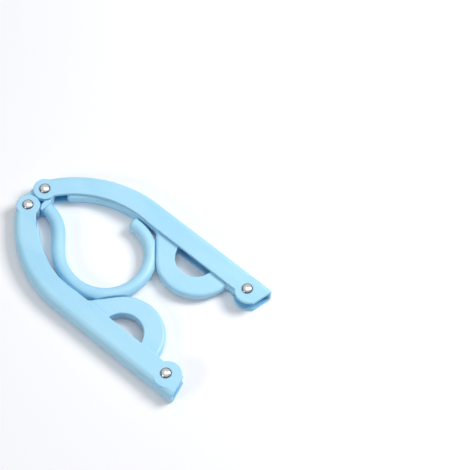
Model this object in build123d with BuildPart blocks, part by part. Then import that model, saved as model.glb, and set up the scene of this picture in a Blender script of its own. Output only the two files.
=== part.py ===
from build123d import *
import os
from math import acos, atan2, cos, degrees, hypot, isclose, radians, sin, sqrt, tan

# Folding travel hanger, folded flat and lying on its back. All lengths are millimetres.
#
# X runs from the hub to the free ends of the folded arms, and the hook points the same way.
# Z is the front, the side with the domed rivet heads. Seen from the front with the hook up,
# the left arm is on +Y and the right arm on -Y. The origin is the bottom centre of the
# folded hanger. Sketches are drawn on the fold plane, whose own origin is midway between
# the two hub rivets, so that x and y in them are distances from the hub.
#
# The arms are channels: two cheeks joined by a web along the closed outer side, with the
# mouth facing inward. Each arm swings outward on its hub rivet until the end of its web
# lands on the straight edge of the hub. A shoulder bar nests in each channel, turns on the
# end rivet, and swings out of the mouth and over the open end until the outside of its
# U-dip lands on the end of the web.

# Arms: layout of the fold
arm_gap = 53.2
bend_radius = 58.0
nose_reach = 10.0
arm_swing = 105.0

# Arms: cross-section of the channel
arm_width = 12.6
arm_thickness = 9.0
cheek = 1.6
web = 2.2
outer_round = 3.6
lip_round = 0.4
channel_round = 1.4

# Arms: round pads about the rivets, the relief of the inner edge by the hub, and the nose
hub_pad_inset = 0.25
end_pad_lip = 1.0
end_pad_shift = 1.0
relief_back = 1.6
relief_lift = 0.3
nose_round = 1.8

# Shoulder bars
bar_width = 9.2
bar_tip_gap = 10.9
bar_tip_round = 2.0
bar_edge_round = 1.8
bar_swing = 180.0
dip_to_rivet = 30.7
dip_drop = 2.9
dip_hole_radius = 10.7
dip_hole_back = 0.8
dip_band = 10.4
dip_flank_angle = 40.8
dip_flank_root_round = 3.0
dip_root_round = 1.5
dip_rim_chamfer = 0.4

# Hub and hook
hub_eye_inset = 0.7
hub_edge_round = 0.5
block_reach = 1.55
block_inset = 0.2
block_width = 2.9
block_margin = 0.5
pocket_start = 1.6
pocket_depth = 3.6
rod_radius = 3.45
stem_angle = 48.0
stem_bend_radius = 20.8
heel_radius = 27.0
ring_tip_angle = 96.0
ring_tip_round = 1.5
ring_flat = 1.3

# Rivets
shank_radius = 1.5
head_radius = 2.8
head_height = 1.5
head_edge = 0.35
bore_radius = 1.0
bore_depth = 3.5
curl_radius = 2.4
recess_radius = 2.9
recess_depth = 0.9

# Clearances between pieces, and the overrun of every cut
side_clearance = 0.2
turning_clearance = 0.05
stop_clearance = 0.15
pad_clearance = 0.5
block_clearance = 0.4
web_clearance = 1.5
ring_clearance = 0.25
flank_clearance = 0.4
overrun = 5.0

# Sizes worked out from the ones above
arm_half = arm_width / 2
bar_half = bar_width / 2
hub_pad_radius = arm_half - hub_pad_inset
end_pad_radius = arm_half + end_pad_lip
hub_eye_radius = hub_pad_radius - hub_eye_inset
hub_spacing = 2 * hub_pad_radius + pad_clearance
dip_radius = dip_hole_radius + dip_band
mid_height = arm_thickness / 2
slot_height = arm_thickness - 2 * cheek
inner_start = cheek + side_clearance
inner_height = slot_height - 2 * side_clearance
hole_radius = shank_radius + turning_clearance

# Across the fold: each arm's centre line, and its bar's, which stands off the inside of the web
hub_y = hub_spacing / 2
arm_y = arm_gap / 2 + arm_half
end_rivet_y = arm_y + arm_half - web - web_clearance - bar_half
bar_inner_y = end_rivet_y - bar_half
dip_y = end_rivet_y - dip_drop
bend_y = arm_y - bend_radius
bend_x = sqrt(bend_radius**2 - (hub_y - bend_y) ** 2)
bend_start = degrees(atan2(hub_y - bend_y, -bend_x))

# Along the fold from the hub: the block, the stem, the wider heel that carries it into the ring,
# the ring that passes close between the straight edges of the bars, the U-dips that stand
# against its flattened sides, and the rivets
block_end = hub_pad_radius + block_reach
block_start = block_end - block_width
block_round = hub_spacing - block_inset
stem_start = block_end - block_width / 2
ring_radius = bar_inner_y - ring_clearance - rod_radius
stem_reach = stem_start + stem_bend_radius * tan(radians(stem_angle / 2))
heel_y = heel_radius - ring_radius
ring_x = stem_reach + (heel_radius - heel_y * cos(radians(stem_angle))) / sin(radians(stem_angle))
ring_half = ring_radius + rod_radius - ring_flat
flank_reach = ring_x * cos(radians(dip_flank_angle)) + ring_half + flank_clearance
dip_x = (flank_reach + dip_radius - dip_y * sin(radians(dip_flank_angle))) / cos(radians(dip_flank_angle))
end_rivet_reach = dip_x + dip_to_rivet
arm_reach = end_rivet_reach + nose_reach

# The folded hanger reaches from the round pads at the hub to the noses of the arms
hub_x = (hub_pad_radius - arm_reach) / 2
fold = Plane(origin=(hub_x, 0, 0))
hub_pin = (hub_x, hub_y)
end_pin = (hub_x + end_rivet_reach, end_rivet_y)


def round_pad(place, radius):
    """A full-thickness round pad about a rivet, with the arm's lip rounding on both rims."""
    with BuildPart(Plane(origin=(*place, 0))) as pad:
        Cylinder(radius, arm_thickness, align=(Align.CENTER, Align.CENTER, Align.MIN))
        fillet(pad.edges().filter_by(GeomType.CIRCLE), lip_round)
    return pad.part


# Nose of the arm: a small round and the pad circle, joined by the slanted end face
nose_x = arm_reach - nose_round
nose_y = arm_y + arm_half - nose_round
end_pad_reach = end_rivet_reach + end_pad_shift
nose_to_pad = hypot(nose_x - end_pad_reach, nose_y - end_rivet_y)
nose_direction = degrees(atan2(nose_y - end_rivet_y, nose_x - end_pad_reach))
end_normal = nose_direction - degrees(acos((end_pad_radius - nose_round) / nose_to_pad))
end_foot = (
    end_pad_reach + end_pad_radius * cos(radians(end_normal)) + overrun * sin(radians(end_normal)),
    end_rivet_y + end_pad_radius * sin(radians(end_normal)) - overrun * cos(radians(end_normal)),
)

# The web starts on the line that lands on the hub's straight edge when the arm is open
stop_normal = 180 - arm_swing
stop_reach = hub_eye_radius + stop_clearance

# Outside of the U-dip, and where it stands about the end rivet when the bar is fully out
dip_from_rivet = hypot(dip_x - end_rivet_reach, dip_y - end_rivet_y)
dip_open_angle = degrees(atan2(dip_y - end_rivet_y, dip_x - end_rivet_reach)) + bar_swing
dip_open = (
    end_rivet_reach + dip_from_rivet * cos(radians(dip_open_angle)),
    end_rivet_y + dip_from_rivet * sin(radians(dip_open_angle)),
)

arm_inner_radius = bend_radius - arm_half
hub_pad = round_pad(hub_pin, hub_pad_radius)
end_pad = round_pad((hub_x + end_pad_reach, end_rivet_y), end_pad_radius)

# Left arm
with BuildPart() as left_arm:
    with BuildLine(fold.offset(mid_height)) as arm_spine:
        arm_bend = CenterArc((bend_x, bend_y), bend_radius, bend_start, 90 - bend_start)
        Line(arm_bend @ 1, (arm_reach + overrun, arm_y))
    outward = (cos(radians(bend_start)), sin(radians(bend_start)), 0)
    arm_root = Plane(origin=arm_bend @ 0, x_dir=outward, z_dir=arm_bend % 0)
    with BuildSketch(arm_root) as arm_section:
        Rectangle(arm_width, arm_thickness)
        fillet(arm_section.vertices().group_by(Axis.X)[-1], outer_round)
        fillet(arm_section.vertices().group_by(Axis.X)[0], lip_round)
    sweep()
    with BuildSketch(fold) as beyond_nose:
        with BuildLine():
            nose = CenterArc((nose_x, nose_y), nose_round, end_normal, 90 - end_normal)
            Polyline(
                nose @ 1,
                (nose_x, nose_y + nose_round + overrun),
                (arm_reach + 2 * overrun, nose_y + nose_round + overrun),
                (arm_reach + 2 * overrun, end_foot[1]),
                end_foot,
                nose @ 0,
            )
        make_face()
    extrude(amount=arm_thickness, mode=Mode.SUBTRACT)
    with BuildSketch(fold) as hub_relief:
        with Locations((bend_x - relief_back, bend_y + relief_lift)):
            Circle(arm_inner_radius)
    extrude(amount=arm_thickness, mode=Mode.SUBTRACT)
    add(hub_pad)
    add(end_pad)
    with BuildSketch(arm_root) as channel_section:
        with Locations((-(overrun + web) / 2, 0)):
            Rectangle(arm_width - web + overrun, slot_height)
        fillet(channel_section.vertices().group_by(Axis.X)[-1], channel_round)
    sweep(path=arm_spine.line, mode=Mode.SUBTRACT)
    with BuildSketch(fold.offset(cheek)) as hub_end_opening:
        with Locations(Location((0, hub_y, 0), (0, 0, stop_normal))):
            with Locations((stop_reach, 0)):
                Rectangle(stop_reach + arm_width, 2 * arm_width, align=(Align.MAX, Align.CENTER))
    extrude(amount=slot_height, mode=Mode.SUBTRACT)
    with BuildSketch(fold.offset(cheek)) as dip_seat:
        with Locations(dip_open):
            Circle(dip_radius + stop_clearance)
    extrude(amount=slot_height, mode=Mode.SUBTRACT)
    with Locations(Location((*hub_pin, 0), (180, 0, 0)), Location((*end_pin, 0), (180, 0, 0))):
        CounterBoreHole(hole_radius, recess_radius, recess_depth, depth=arm_thickness)
left_arm.part.label = "left_arm"

with BuildPart() as right_arm:
    mirror(left_arm.part, about=Plane.XZ)
right_arm.part.label = "right_arm"

# Left shoulder bar
bar_bend_radius = bend_radius - (arm_y - end_rivet_y)
bar_tip_angle = bend_start - degrees(bar_tip_gap / bar_bend_radius)
flank_x = dip_x - dip_radius * cos(radians(dip_flank_angle))
flank_y = dip_y - dip_radius * sin(radians(dip_flank_angle))
flank_root_x = flank_x - (bar_inner_y - flank_y) * tan(radians(dip_flank_angle))
dip_end_angle = degrees(atan2(bar_inner_y - dip_y, sqrt(dip_radius**2 - (bar_inner_y - dip_y) ** 2)))

with BuildPart() as left_bar:
    with BuildSketch(fold.offset(inner_start)) as bar_outline:
        with BuildLine():
            bar_top = CenterArc((bend_x, bend_y), bar_bend_radius + bar_half, 90, bar_tip_angle - 90)
            bar_bottom = CenterArc(
                (bend_x, bend_y), bar_bend_radius - bar_half, bar_tip_angle, 90 - bar_tip_angle
            )
            dip = CenterArc(
                (dip_x, dip_y), dip_radius, 180 + dip_flank_angle, 180 - dip_flank_angle + dip_end_angle
            )
            eye = CenterArc((end_rivet_reach, end_rivet_y), bar_half, -90, 180)
            Line(bar_top @ 1, bar_bottom @ 0)
            Polyline(bar_bottom @ 1, (flank_root_x, bar_inner_y), dip @ 0)
            Line(dip @ 1, eye @ 0)
            Line(eye @ 1, bar_top @ 0)
        make_face()
        tip_corners = bar_outline.vertices().group_by(Axis.X)[:2]
        fillet([corner for group in tip_corners for corner in group], bar_tip_round)
        flank_root = bar_outline.vertices().sort_by_distance((flank_root_x, bar_inner_y))[0]
        fillet(flank_root, dip_flank_root_round)
        dip_root = bar_outline.vertices().sort_by_distance(dip @ 1)[0]
        fillet(dip_root, dip_root_round)
    extrude(amount=inner_height)
    fillet(left_bar.edges().group_by(Axis.Z)[0] + left_bar.edges().group_by(Axis.Z)[-1], bar_edge_round)
    with BuildSketch(fold.offset(inner_start)) as dip_hole:
        with Locations((dip_x - dip_hole_back, dip_y)):
            Circle(dip_hole_radius)
            Rectangle(2 * dip_hole_radius, bar_width + overrun, align=(Align.CENTER, Align.MIN))
    extrude(amount=inner_height, mode=Mode.SUBTRACT)
    rims = left_bar.edges(Select.LAST).group_by(Axis.Z)
    chamfer(rims[0] + rims[-1], dip_rim_chamfer)
    with Locations((*end_pin, inner_start + inner_height)):
        Hole(hole_radius)
left_bar.part.label = "left_bar"

with BuildPart() as right_bar:
    mirror(left_bar.part, about=Plane.XZ)
right_bar.part.label = "right_bar"

# Hub and hook, one moulding
with BuildPart() as hub_hook:
    with BuildSketch(fold.offset(inner_start)) as hub_plate:
        SlotCenterToCenter(hub_spacing, 2 * hub_eye_radius, rotation=90)
        Rectangle(stem_start, hub_spacing, align=(Align.MIN, Align.CENTER))
    extrude(amount=inner_height)
    with BuildSketch(fold.offset(inner_start + inner_height)) as hub_pocket:
        with BuildLine():
            Polyline((pocket_start, 0), (block_start, pocket_start), (block_start, -pocket_start), close=True)
        make_face()
    extrude(amount=-pocket_depth, mode=Mode.SUBTRACT)
    with BuildSketch(fold.offset(block_margin)) as hub_block:
        with Locations((block_end - block_round, 0)):
            Circle(block_round)
        with Locations((block_start, 0)):
            Rectangle(overrun, 2 * arm_y, align=(Align.MIN, Align.CENTER), mode=Mode.INTERSECT)
        for side in (1, -1):
            with Locations((0, side * hub_y)):
                Circle(hub_pad_radius + block_clearance, mode=Mode.SUBTRACT)
            with Locations((bend_x, side * bend_y)):
                Circle(arm_inner_radius - block_clearance, mode=Mode.INTERSECT)
        fillet(hub_block.vertices().group_by(Axis.X)[-1], hub_edge_round)
    extrude(amount=arm_thickness - 2 * block_margin)
    with BuildLine(fold.offset(mid_height)) as rod_path:
        stem = JernArc((stem_start, 0), (1, 0), stem_bend_radius, -stem_angle)
        heel = CenterArc((ring_x, heel_y), heel_radius, -90 - stem_angle, stem_angle)
        ring = CenterArc((ring_x, 0), ring_radius, -90, 90 + ring_tip_angle)
        Line(stem @ 1, heel @ 0)
    with BuildSketch(Plane(origin=stem @ 0, z_dir=stem % 0)):
        Circle(rod_radius)
    sweep(path=rod_path.line)
    circles = hub_hook.edges().filter_by(GeomType.CIRCLE)
    rod_circles = circles.filter_by(lambda edge: isclose(edge.radius, rod_radius))
    fillet(rod_circles.sort_by_distance(ring @ 1)[0], ring_tip_round)
    with BuildSketch(fold) as ring_flats:
        for side in (1, -1):
            with Locations(Location((ring_x, 0, 0), (0, 0, side * dip_flank_angle))):
                with Locations((ring_half, 0)):
                    Rectangle(overrun, ring_radius, align=(Align.MIN, Align.CENTER))
    extrude(amount=arm_thickness, mode=Mode.SUBTRACT)
    with Locations((hub_x, 0, inner_start + inner_height)):
        with GridLocations(0, hub_spacing, 1, 2):
            Hole(hole_radius)
hub_hook.part.label = "hub_hook"


# Rivets
head_base = arm_thickness + turning_clearance
curl_base = recess_depth - turning_clearance
curl_middle = (bore_radius + curl_radius) / 2
curl_depth = (curl_radius - bore_radius) / 2
bore_end = curl_base + bore_depth


def rivet(x, y):
    """A semi-tubular rivet: domed head on the front, hollow end curled over in the back recess."""
    with BuildPart() as body:
        with BuildSketch(Plane(origin=(x, y, 0), x_dir=(1, 0, 0), z_dir=(0, -1, 0))):
            with BuildLine():
                dome = TangentArc(
                    (0, head_base + head_height), (head_radius, head_base + head_edge), tangent=(1, 0)
                )
                shank = Polyline(
                    dome @ 1,
                    (head_radius, head_base),
                    (shank_radius, head_base),
                    (shank_radius, curl_base),
                    (curl_radius, curl_base),
                )
                curl = ThreePointArc(
                    shank @ 1, (curl_middle, curl_base - curl_depth), (bore_radius, curl_base)
                )
                bore = Polyline(curl @ 1, (bore_radius, bore_end), (0, bore_end))
                Line(bore @ 1, dome @ 0)
            make_face()
        revolve(axis=Axis((x, y, 0), (0, 0, 1)))
    return body.part


rivet_places = {
    "left_hub_rivet": hub_pin,
    "right_hub_rivet": (hub_pin[0], -hub_pin[1]),
    "left_end_rivet": end_pin,
    "right_end_rivet": (end_pin[0], -end_pin[1]),
}
rivets = []
for name, place in rivet_places.items():
    piece = rivet(*place)
    piece.label = name
    rivets.append(piece)

os.makedirs("parts", exist_ok=True)
for piece in [left_arm.part, right_arm.part, left_bar.part, right_bar.part, hub_hook.part] + rivets:
    export_step(piece, f"parts/{piece.label}.step")
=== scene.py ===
"""The looks of a folding travel hanger, built round its fixed construction frame.

The hanger lies folded flat on a white surface. Its five mouldings and four rivets keep the
shapes of the frame. This script gives them their finishes, and sets up the surface, the lamps
and the camera. Lengths are in metres, and the size of a texture is in cells to the metre.
"""

import logging
import math
from dataclasses import dataclass
from enum import Enum

import bpy
from mathutils import Matrix, Vector

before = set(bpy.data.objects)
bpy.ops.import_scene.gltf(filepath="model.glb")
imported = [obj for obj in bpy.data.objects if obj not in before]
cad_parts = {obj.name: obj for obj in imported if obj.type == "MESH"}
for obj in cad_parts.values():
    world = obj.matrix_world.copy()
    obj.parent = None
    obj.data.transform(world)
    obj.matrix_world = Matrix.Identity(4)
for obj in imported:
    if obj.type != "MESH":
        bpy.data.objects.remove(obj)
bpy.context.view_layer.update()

LOG = logging.getLogger("folding_hanger")
Colour = tuple[float, float, float]
Point = tuple[float, float, float]
Pair = tuple[float, float]
Node = bpy.types.Node
Socket = bpy.types.NodeSocket
Tree = bpy.types.NodeTree

MM = 0.001
WHITE: Colour = (1.0, 1.0, 1.0)
WHOLE: Pair = (0.0, 1.0)

# A Mix node has sockets of several types under one name, so its colour ones go by number
MIX_COLOURS = (6, 7)
MIX_RESULT = 2


class Side(Enum):
    """The two halves of the hanger, as seen from the front with the hook up."""

    LEFT = "left"
    RIGHT = "right"


class NodeKit:
    """Adds nodes to a node tree and wires them, so that a finish reads as a short list."""

    def __init__(self, tree: Tree) -> None:
        """Keeps the tree that the nodes go into, which is a material's, a world's or a group's."""
        self.tree = tree

    def add(self, kind: str, **settings: object) -> Node:
        """Adds one node.

        Args:
            kind: the node's type, such as ShaderNodeTexNoise.
            settings: properties of the node to set.

        Returns:
            The new node.
        """
        node = self.tree.nodes.new(kind)
        for name, value in settings.items():
            setattr(node, name, value)
        return node

    def give(self, socket: Socket, value: object) -> None:
        """Links an input from a socket, or sets its plain value.

        Args:
            socket: the input.
            value: a socket to link from, or a plain value, where a colour has three numbers.
        """
        if isinstance(value, Socket):
            self.tree.links.new(value, socket)
        elif socket.type == "RGBA":
            socket.default_value = (*value, 1.0)
        else:
            socket.default_value = value

    def feed(self, node: Node, **inputs: object) -> Node:
        """Gives a node's inputs by name.

        Args:
            node: the node whose inputs are given.
            inputs: a value or a socket for each input, with underscores for spaces in its name.

        Returns:
            The same node.
        """
        for name, value in inputs.items():
            self.give(node.inputs[name.replace("_", " ")], value)
        return node

    def fill(self, node: Node, *values: object) -> Node:
        """Gives a node's inputs in order.

        Args:
            node: the node whose inputs are given.
            values: a value or a socket for each input, from the first.

        Returns:
            The same node.
        """
        for socket, value in zip(node.inputs, values):
            self.give(socket, value)
        return node

    def maths(self, operation: str, *values: object) -> Socket:
        """Adds a Math node on some values or sockets, and returns the socket of its result."""
        return self.fill(self.add("ShaderNodeMath", operation=operation), *values).outputs[0]

    def noise(self, place: Socket, cells: float | Socket, octaves: float) -> Socket:
        """Adds a Noise Texture of some size and octaves, and returns the socket of its value."""
        node = self.feed(self.add("ShaderNodeTexNoise"), Vector=place, Scale=cells, Detail=octaves)
        return node.outputs["Fac"]

    def between(self, value: Socket, band: Pair, result: Pair = WHOLE) -> Socket:
        """Maps a value from one range to another, smoothly, and holds it at the ends.

        Args:
            value: the socket to map.
            band: where the range starts and ends.
            result: the results at those two ends.

        Returns:
            The socket of the mapped value.
        """
        node = self.add("ShaderNodeMapRange", interpolation_type="SMOOTHSTEP")
        (low, high), (first, last) = band, result
        self.feed(node, Value=value, From_Min=low, From_Max=high, To_Min=first, To_Max=last)
        return node.outputs["Result"]

    def blend(self, mask: Socket, low: Colour | Socket, high: Colour | Socket) -> Socket:
        """Mixes two colours by a mask.

        Args:
            mask: 0 for the first colour, 1 for the second.
            low: the first colour, or its socket.
            high: the second colour, or its socket.

        Returns:
            The socket of the mixed colour.
        """
        node = self.feed(self.add("ShaderNodeMix", data_type="RGBA"), Factor=mask)
        for number, colour in zip(MIX_COLOURS, (low, high)):
            self.give(node.inputs[number], colour)
        return node.outputs[MIX_RESULT]

    def end(self, kind: str, shader: Node) -> None:
        """Adds the tree's output node and links a shader to its surface."""
        self.feed(self.add(kind), Surface=shader.outputs[0])


def new_group(name: str, inputs: dict[str, float], outputs: tuple[str, ...]) -> NodeKit:
    """Starts a shader node group with named inputs and outputs.

    Args:
        name: the group's name.
        inputs: each input with its default.
        outputs: the outputs.

    Returns:
        A kit that adds nodes to the group.
    """
    tree = bpy.data.node_groups.new(name, "ShaderNodeTree")
    for label, default in inputs.items():
        socket = tree.interface.new_socket(name=label, in_out="INPUT", socket_type="NodeSocketFloat")
        socket.default_value = default
    for label in outputs:
        tree.interface.new_socket(name=label, in_out="OUTPUT", socket_type="NodeSocketFloat")
    return NodeKit(tree)


def new_material(name: str) -> tuple[bpy.types.Material, NodeKit]:
    """Starts a material with no nodes.

    Args:
        name: the material's name.

    Returns:
        The material and a kit that adds nodes to it.
    """
    material = bpy.data.materials.new(name)
    material.use_nodes = True
    material.node_tree.nodes.clear()
    return material, NodeKit(material.node_tree)


@dataclass(frozen=True)
class MouldedGrain:
    """The skin of a satin moulding: a fine matt grain over a faint orange peel.

    Attributes:
        grain: the size and octaves of the fine grain.
        peel: the same of the orange peel.
        peel_share: the height of the peel, where the grain's is 1.
        flow: the size and octaves of the melt's flow marks.
        flow_scale: the scale of their pattern along each axis, which draws them out along X.
        flow_band: the noise levels where a flow mark starts and is full.
        speck: the size and octaves of the specks.
        speck_band: the noise levels where a speck starts and is full.
    """

    grain: Pair = (3600.0, 2.0)
    peel: Pair = (420.0, 1.0)
    peel_share: float = 1.2
    flow: Pair = (75.0, 3.0)
    flow_scale: Point = (0.35, 1.0, 1.0)
    flow_band: Pair = (0.3, 0.7)
    speck: Pair = (2600.0, 2.0)
    speck_band: Pair = (0.35, 0.65)

    def build(self) -> Tree:
        """Builds the node group.

        Returns:
            A group with the inputs Grain and Peel, which are their sizes, and with the outputs
            Height, and Flow and Speck, which are masks.
        """
        (grain_cells, grain_octaves), (peel_cells, peel_octaves) = self.grain, self.peel
        sizes = {"Grain": grain_cells, "Peel": peel_cells}
        kit = new_group("moulded_grain", sizes, ("Height", "Flow", "Speck"))
        given = kit.add("NodeGroupInput").outputs
        place = kit.add("ShaderNodeTexCoord").outputs["Object"]
        grain = kit.noise(place, given["Grain"], grain_octaves)
        peel = kit.noise(place, given["Peel"], peel_octaves)
        height = kit.maths("ADD", grain, kit.maths("MULTIPLY", peel, self.peel_share))
        drawn = kit.feed(kit.add("ShaderNodeMapping"), Vector=place, Scale=self.flow_scale)
        flow = kit.between(kit.noise(drawn.outputs["Vector"], *self.flow), self.flow_band)
        speck = kit.between(kit.noise(place, *self.speck), self.speck_band)
        kit.feed(kit.add("NodeGroupOutput"), Height=height, Flow=flow, Speck=speck)
        return kit.tree


@dataclass(frozen=True)
class HandlingScuffs:
    """The light scuffs of handling: fine broken scratches in two directions.

    Attributes:
        amount: how strong they are where a material doesn't say.
        strokes: for each direction, its turn in radians and the scale that draws it out.
        scratch: the size and octaves of the scratches, across them.
        scratch_band: the noise levels where a scratch starts and is full.
        patch: the size and octaves of the patches that break the scratches up.
        patch_band: the noise levels where a patch starts and is full.
    """

    amount: float = 0.5
    strokes: tuple[Pair, Pair] = ((0.6, 0.045), (-1.1, 0.07))
    scratch: Pair = (1900.0, 1.0)
    scratch_band: Pair = (0.66, 0.74)
    patch: Pair = (120.0, 2.0)
    patch_band: Pair = (0.45, 0.7)

    def build(self) -> Tree:
        """Builds the node group.

        Returns:
            A group with the input Amount, from 0 to 1, and the output Scuff, a mask.
        """
        kit = new_group("handling_scuffs", {"Amount": self.amount}, ("Scuff",))
        given = kit.add("NodeGroupInput").outputs
        place = kit.add("ShaderNodeTexCoord").outputs["Object"]
        marks = []
        for turn, scale in self.strokes:
            aim = kit.feed(
                kit.add("ShaderNodeMapping"),
                Vector=place,
                Rotation=(0.0, 0.0, turn),
                Scale=(scale, 1.0, 1.0),
            )
            lines = kit.noise(aim.outputs["Vector"], *self.scratch)
            marks.append(kit.between(lines, self.scratch_band))
        patches = kit.between(kit.noise(place, *self.patch), self.patch_band)
        broken = kit.maths("MULTIPLY", kit.maths("MAXIMUM", *marks), patches)
        scuff = kit.maths("MULTIPLY", broken, given["Amount"])
        kit.feed(kit.add("NodeGroupOutput"), Scuff=scuff)
        return kit.tree


@dataclass(frozen=True)
class MouldedPlastic:
    """Satin polypropylene, coloured all through, with painted shade of a deeper blue where its own
    walls shelter it.

    Attributes:
        name: the material's name.
        colour: the colour of the open skin.
        pale: the open skin where the melt has turned milky.
        painted_shade_colour: the painted shade, a deeper blue, on the skin that its walls shelter.
        milky_shares: the shares of the flow marks and the specks in the milkiness.
        painted_shade_reach: how near a wall has to be for the painted shade.
        painted_shade_band: the openness, from 0 to 1, where the open skin starts over the painted
            shade and is full.
        painted_shade_rays: the rays that measure the openness for the painted shade.
        arris: the radius that softens the sharp edges.
        arris_rays: the rays that look for them.
        grain_height: the height of the grain.
        roughness: the mean roughness.
        speck_roughness: how much smoother or rougher the specks make it.
        scuff_amount: how strong the scuffs are.
        scuff_polish: how much smoother a scuff is.
        refraction: the index of refraction.
    """

    name: str
    colour: Colour
    pale: Colour
    painted_shade_colour: Colour
    milky_shares: Pair = (0.65, 0.35)
    painted_shade_reach: float = 9 * MM
    painted_shade_band: Pair = (0.25, 0.85)
    painted_shade_rays: int = 24
    arris: float = 0.6 * MM
    arris_rays: int = 8
    grain_height: float = 0.03 * MM
    roughness: float = 0.4
    speck_roughness: float = 0.06
    scuff_amount: float = 0.35
    scuff_polish: float = 0.12
    refraction: float = 1.49

    def tint(self, kit: NodeKit, flow: Socket, speck: Socket) -> Socket:
        """Colours the skin by its milkiness, and paints shade on it, a deeper blue, where the walls
        shelter it.

        Args:
            flow: the mask of the flow marks.
            speck: the mask of the specks.

        Returns:
            The socket of the colour.
        """
        flow_share, speck_share = self.milky_shares
        flow_part = kit.maths("MULTIPLY", flow, flow_share)
        speck_part = kit.maths("MULTIPLY", speck, speck_share)
        open_skin = kit.blend(kit.maths("ADD", flow_part, speck_part), self.colour, self.pale)
        # Painted shade: the skin turns a deeper blue where the piece's own walls are near.
        walls = kit.add("ShaderNodeAmbientOcclusion", samples=self.painted_shade_rays, only_local=True)
        openness = kit.feed(walls, Distance=self.painted_shade_reach).outputs["AO"]
        return kit.blend(kit.between(openness, self.painted_shade_band), self.painted_shade_colour, open_skin)

    def relief(self, kit: NodeKit, height: Socket) -> Socket:
        """Raises the grain on a surface with softened arrises.

        Args:
            height: the grain's height.

        Returns:
            The socket of the normal.
        """
        softened = kit.feed(kit.add("ShaderNodeBevel", samples=self.arris_rays), Radius=self.arris)
        bump = kit.feed(
            kit.add("ShaderNodeBump"),
            Strength=1.0,
            Distance=self.grain_height,
            Height=height,
            Normal=softened.outputs["Normal"],
        )
        return bump.outputs["Normal"]

    def material(self, grain: Tree, scuffs: Tree) -> bpy.types.Material:
        """Makes the material.

        Args:
            grain: the moulded_grain group.
            scuffs: the handling_scuffs group.

        Returns:
            The material.
        """
        made, kit = new_material(self.name)
        skin = kit.add("ShaderNodeGroup", node_tree=grain).outputs
        worn = kit.feed(kit.add("ShaderNodeGroup", node_tree=scuffs), Amount=self.scuff_amount)
        swing = (self.roughness - self.speck_roughness, self.roughness + self.speck_roughness)
        unworn = kit.between(skin["Speck"], WHOLE, swing)
        polish = kit.maths("MULTIPLY", worn.outputs["Scuff"], self.scuff_polish)
        surface = kit.feed(
            kit.add("ShaderNodeBsdfPrincipled"),
            Base_Color=self.tint(kit, skin["Flow"], skin["Speck"]),
            Roughness=kit.maths("SUBTRACT", unworn, polish),
            IOR=self.refraction,
            Normal=self.relief(kit, skin["Height"]),
        )
        kit.end("ShaderNodeOutputMaterial", surface)
        return made


@dataclass(frozen=True)
class RivetMetal:
    """Bright nickel plate on a rolled rivet, with a painted dark reflection where the head turns
    down to its rim.

    Attributes:
        name: the material's name.
        colour: the colour of the bright plate.
        dull: the plate where it is scuffed.
        painted_rim_reflection: the painted dark reflection on the rim.
        reflection_slope: the upright part of the normal where the bright plate starts over the
            painted dark reflection and is full.
        grain_cells: the size of the plate's grain.
        peel_cells: the size of its ripple.
        relief_strength: how much of the relief shows.
        relief_height: the height of the grain.
        roughness: the roughness of the bright plate.
        scuff_amount: how strong the scuffs are.
        scuff_roughness: how much rougher a scuff is.
    """

    name: str
    colour: Colour
    dull: Colour
    painted_rim_reflection: Colour
    reflection_slope: Pair = (0.75, 0.9)
    grain_cells: float = 9000.0
    peel_cells: float = 1500.0
    relief_strength: float = 0.2
    relief_height: float = 0.002 * MM
    roughness: float = 0.16
    scuff_amount: float = 0.9
    scuff_roughness: float = 0.22

    def tint(self, kit: NodeKit, scuff: Socket) -> Socket:
        """Colours the plate, dull in its scuffs, with a painted dark reflection on its steep rim.

        Args:
            scuff: the mask of the scuffs.

        Returns:
            The socket of the colour.
        """
        # Painted reflection: the steep rim of the head is coloured dark by how its surface faces.
        normal = kit.add("ShaderNodeTexCoord").outputs["Normal"]
        facing = kit.fill(kit.add("ShaderNodeSeparateXYZ"), normal)
        upright = kit.maths("ABSOLUTE", facing.outputs["Z"])
        plate = kit.blend(scuff, self.colour, self.dull)
        return kit.blend(kit.between(upright, self.reflection_slope), self.painted_rim_reflection, plate)

    def relief(self, kit: NodeKit, height: Socket) -> Socket:
        """Raises the plate's texture.

        Args:
            height: the texture's height.

        Returns:
            The socket of the normal.
        """
        bump = kit.feed(
            kit.add("ShaderNodeBump"),
            Strength=self.relief_strength,
            Distance=self.relief_height,
            Height=height,
        )
        return bump.outputs["Normal"]

    def material(self, grain: Tree, scuffs: Tree) -> bpy.types.Material:
        """Makes the material.

        Args:
            grain: the moulded_grain group, used very fine for the plate's texture.
            scuffs: the handling_scuffs group.

        Returns:
            The material.
        """
        made, kit = new_material(self.name)
        skin = kit.add("ShaderNodeGroup", node_tree=grain)
        kit.feed(skin, Grain=self.grain_cells, Peel=self.peel_cells)
        worn = kit.feed(kit.add("ShaderNodeGroup", node_tree=scuffs), Amount=self.scuff_amount)
        scuff = worn.outputs["Scuff"]
        wear = (self.roughness, self.roughness + self.scuff_roughness)
        surface = kit.feed(
            kit.add("ShaderNodeBsdfPrincipled"),
            Base_Color=self.tint(kit, scuff),
            Metallic=1.0,
            Roughness=kit.between(scuff, WHOLE, wear),
            Normal=self.relief(kit, skin.outputs["Height"]),
        )
        kit.end("ShaderNodeOutputMaterial", surface)
        return made


@dataclass(frozen=True)
class Finishes:
    """The materials of the hanger, each made once."""

    plastic: bpy.types.Material
    rivet: bpy.types.Material


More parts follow.
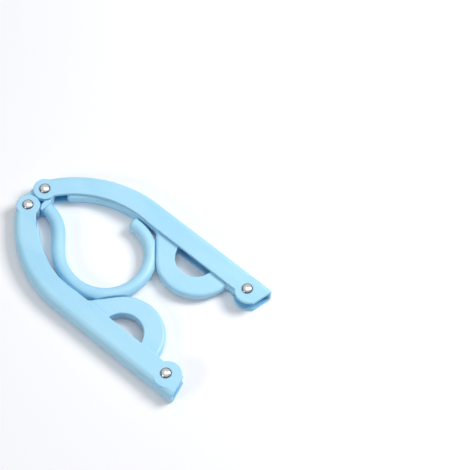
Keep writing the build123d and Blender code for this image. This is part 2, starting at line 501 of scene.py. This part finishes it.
def make_finishes() -> Finishes:
    """Makes the hanger's materials on the two groups that they share.

    Returns:
        The materials.
    """
    grain, scuffs = MouldedGrain().build(), HandlingScuffs().build()
    plastic = MouldedPlastic(
        "pale_blue_plastic",
        colour=(0.345, 0.685, 0.91),
        pale=(0.425, 0.75, 0.945),
        # The third colour is painted shade, for the places that the moulding's own walls shelter.
        painted_shade_colour=(0.045, 0.44, 0.83),
    )
    rivet = RivetMetal(
        "nickel_plate",
        colour=(0.55, 0.55, 0.56),
        dull=(0.36, 0.36, 0.37),
        # The third colour is a painted dark reflection, for the steep rim of each head.
        painted_rim_reflection=(0.08, 0.09, 0.11),
    )
    return Finishes(plastic.material(grain, scuffs), rivet.material(grain, scuffs))


def dress(node: str, material: bpy.types.Material) -> bpy.types.Object:
    """Gives a node of the frame its finish.

    Args:
        node: the node's name.
        material: the finish.

    Returns:
        The node's object.
    """
    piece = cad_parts[node]
    piece.data.materials.clear()
    piece.data.materials.append(material)
    return piece


@dataclass(frozen=True)
class Hub:
    """The hub plate, the cross block and the round hook, with the two rivets of the arms."""

    moulding: str = "hub_hook"
    rivets: tuple[str, ...] = ("left_hub_rivet", "right_hub_rivet")

    def build(self, finishes: Finishes) -> list[bpy.types.Object]:
        """Dresses the hub in its finishes and returns its pieces."""
        rivets = [dress(name, finishes.rivet) for name in self.rivets]
        return [dress(self.moulding, finishes.plastic), *rivets]


@dataclass(frozen=True)
class ChannelArm:
    """One arm: two cheeks and a web, with the rivet of its shoulder bar."""

    side: Side

    def build(self, finishes: Finishes) -> list[bpy.types.Object]:
        """Dresses the arm in its finishes and returns its pieces."""
        name = self.side.value
        return [dress(f"{name}_arm", finishes.plastic), dress(f"{name}_end_rivet", finishes.rivet)]


@dataclass(frozen=True)
class ShoulderBar:
    """One shoulder bar with its U-shaped strap dip."""

    side: Side

    def build(self, finishes: Finishes) -> list[bpy.types.Object]:
        """Dresses the bar in its finish and returns it as a list of one piece."""
        return [dress(f"{self.side.value}_bar", finishes.plastic)]


@dataclass(frozen=True)
class Softbox:
    """One soft rectangular lamp, aimed at a point.

    Attributes:
        name: the lamp's name.
        place: where it hangs.
        size: its width and height.
        power: its power in watts.
        aim: the point that it is aimed at.
    """

    name: str
    place: Point
    size: Pair
    power: float
    aim: Point = (0.0, 0.0, 0.0)

    def build(self) -> bpy.types.Object:
        """Makes the lamp.

        Returns:
            The lamp's object.
        """
        lamp = bpy.data.lights.new(self.name, "AREA")
        lamp.shape = "RECTANGLE"
        lamp.size, lamp.size_y = self.size
        lamp.energy = self.power
        piece = bpy.data.objects.new(self.name, lamp)
        bpy.context.scene.collection.objects.link(piece)
        piece.location = self.place
        towards = Vector(self.aim) - Vector(self.place)
        piece.rotation_euler = towards.to_track_quat("-Z", "Y").to_euler()
        return piece


@dataclass(frozen=True)
class Studio:
    """The white surface, the pale surroundings and the lamps.

    Attributes:
        floor_half: half the width of the surface.
        floor_drop: how far it lies below the hanger's back, so that no two faces coincide.
        floor_colour: its colour.
        floor_lift: its glow where it is seen, near the hanger and far from it.
        lift_reach: how far from the hanger the glow starts to grow, and where it is full.
        world_strength: how bright the surroundings are as a light, where white is 1.
        lamps: the soft lamps.
    """

    floor_half: float = 1.6
    floor_drop: float = 0.02 * MM
    floor_colour: Colour = (0.905, 0.91, 0.935)
    floor_lift: Pair = (0.07, 0.7)
    lift_reach: Pair = (0.12, 0.9)
    world_strength: float = 0.18
    lamps: tuple[Softbox, ...] = (
        Softbox("key_softbox", place=(0.3, 0.5, 0.62), size=(0.34, 0.34), power=5.4),
        Softbox("top_softbox", place=(-0.05, 0.1, 0.95), size=(0.8, 0.8), power=2.4),
        Softbox("front_fill", place=(-0.2, -0.7, 0.45), size=(0.24, 0.18), power=1.5),
    )

    def floor_material(self) -> bpy.types.Material:
        """Makes the finish of the surface: matt, with a glow for the camera and reflections alone.

        Returns:
            The material.
        """
        made, kit = new_material("white_surface")
        paper = kit.feed(kit.add("ShaderNodeBsdfDiffuse"), Color=self.floor_colour)
        place = kit.add("ShaderNodeTexCoord").outputs["Object"]
        away = kit.fill(kit.add("ShaderNodeVectorMath", operation="LENGTH"), place)
        lifted = kit.between(away.outputs["Value"], self.lift_reach, self.floor_lift)
        glow = kit.feed(kit.add("ShaderNodeEmission"), Color=WHITE, Strength=lifted)
        dark = kit.feed(kit.add("ShaderNodeEmission"), Strength=0.0)
        seen = kit.add("ShaderNodeLightPath").outputs
        shown = kit.maths("MAXIMUM", seen["Is Camera Ray"], seen["Is Glossy Ray"])
        lift = kit.fill(kit.add("ShaderNodeMixShader"), shown, dark.outputs[0], glow.outputs[0])
        both = kit.fill(kit.add("ShaderNodeAddShader"), paper.outputs[0], lift.outputs[0])
        kit.end("ShaderNodeOutputMaterial", both)
        return made

    def build_floor(self) -> bpy.types.Object:
        """Makes the surface that the hanger lies on.

        Returns:
            The surface's object.
        """
        mesh = bpy.data.meshes.new("white_surface")
        half, low = self.floor_half, -self.floor_drop
        corners = [(-half, -half, low), (half, -half, low), (half, half, low), (-half, half, low)]
        mesh.from_pydata(corners, [], [(0, 1, 2, 3)])
        mesh.materials.append(self.floor_material())
        floor = bpy.data.objects.new("white_surface", mesh)
        bpy.context.scene.collection.objects.link(floor)
        return floor

    def build_world(self) -> bpy.types.World:
        """Makes the surroundings: white where they are seen, dimmer as a light.

        Returns:
            The world.
        """
        world = bpy.data.worlds.new("white_room")
        bpy.context.scene.world = world
        world.use_nodes = True
        world.node_tree.nodes.clear()
        kit = NodeKit(world.node_tree)
        seen = kit.add("ShaderNodeLightPath").outputs
        through = kit.maths("MAXIMUM", seen["Is Glossy Ray"], seen["Is Transmission Ray"])
        shown = kit.maths("MAXIMUM", seen["Is Camera Ray"], through)
        strength = kit.between(shown, WHOLE, (self.world_strength, 1.0))
        sky = kit.feed(kit.add("ShaderNodeBackground"), Color=WHITE, Strength=strength)
        kit.end("ShaderNodeOutputWorld", sky)
        return world

    def build(self) -> None:
        """Makes the surface, the surroundings and the lamps."""
        self.build_floor()
        self.build_world()
        for lamp in self.lamps:
            lamp.build()


@dataclass(frozen=True)
class PhotoCamera:
    """A long lens that looks down on the hanger from its right front corner.

    Attributes:
        azimuth: the turn from the front towards the right, in degrees.
        elevation: the height above the surface, in degrees.
        roll: the lean about the line of sight, in degrees.
        target: the point that the camera looks at.
        distance: how far it is from that point.
        lens: the focal length in millimetres.
        sensor: the width of the sensor in millimetres.
        clip: the nearest and the farthest distance that it sees.
    """

    azimuth: float = 36.46
    elevation: float = 61.04
    roll: float = 4.34
    target: Point = (0.0299, 0.0520, 0.005)
    distance: float = 0.9657
    lens: float = 144.6
    sensor: float = 36.0
    clip: Pair = (0.05, 20.0)

    def build(self) -> bpy.types.Object:
        """Makes the camera and makes it the scene's own.

        Returns:
            The camera's object.
        """
        data = bpy.data.cameras.new("photo_camera")
        data.lens = self.lens
        data.sensor_width = self.sensor
        data.clip_start, data.clip_end = self.clip
        camera = bpy.data.objects.new("photo_camera", data)
        bpy.context.scene.collection.objects.link(camera)
        turn, lift = math.radians(self.azimuth), math.radians(self.elevation)
        level, height = math.cos(lift), math.sin(lift)
        back = Vector((math.sin(turn) * level, -math.cos(turn) * level, height))
        facing = (-back).to_track_quat("-Z", "Y").to_matrix().to_4x4()
        lean = Matrix.Rotation(math.radians(self.roll), 4, "Z")
        stand = Matrix.Translation(Vector(self.target) + back * self.distance)
        camera.matrix_world = stand @ facing @ lean
        bpy.context.scene.camera = camera
        return camera


def main() -> None:
    """Builds the camera, the studio and the hanger, and reports each piece."""
    logging.basicConfig(level=logging.INFO, format="%(message)s")
    bpy.context.scene.view_settings.view_transform = "Standard"
    PhotoCamera().build()
    Studio().build()
    finishes = make_finishes()
    parts = [Hub()] + [kind(side) for side in Side for kind in (ChannelArm, ShoulderBar)]
    for part in parts:
        for piece in part.build(finishes):
            LOG.info("%s: %s", type(part).__name__, piece.name)


if __name__ == "__main__":
    main()
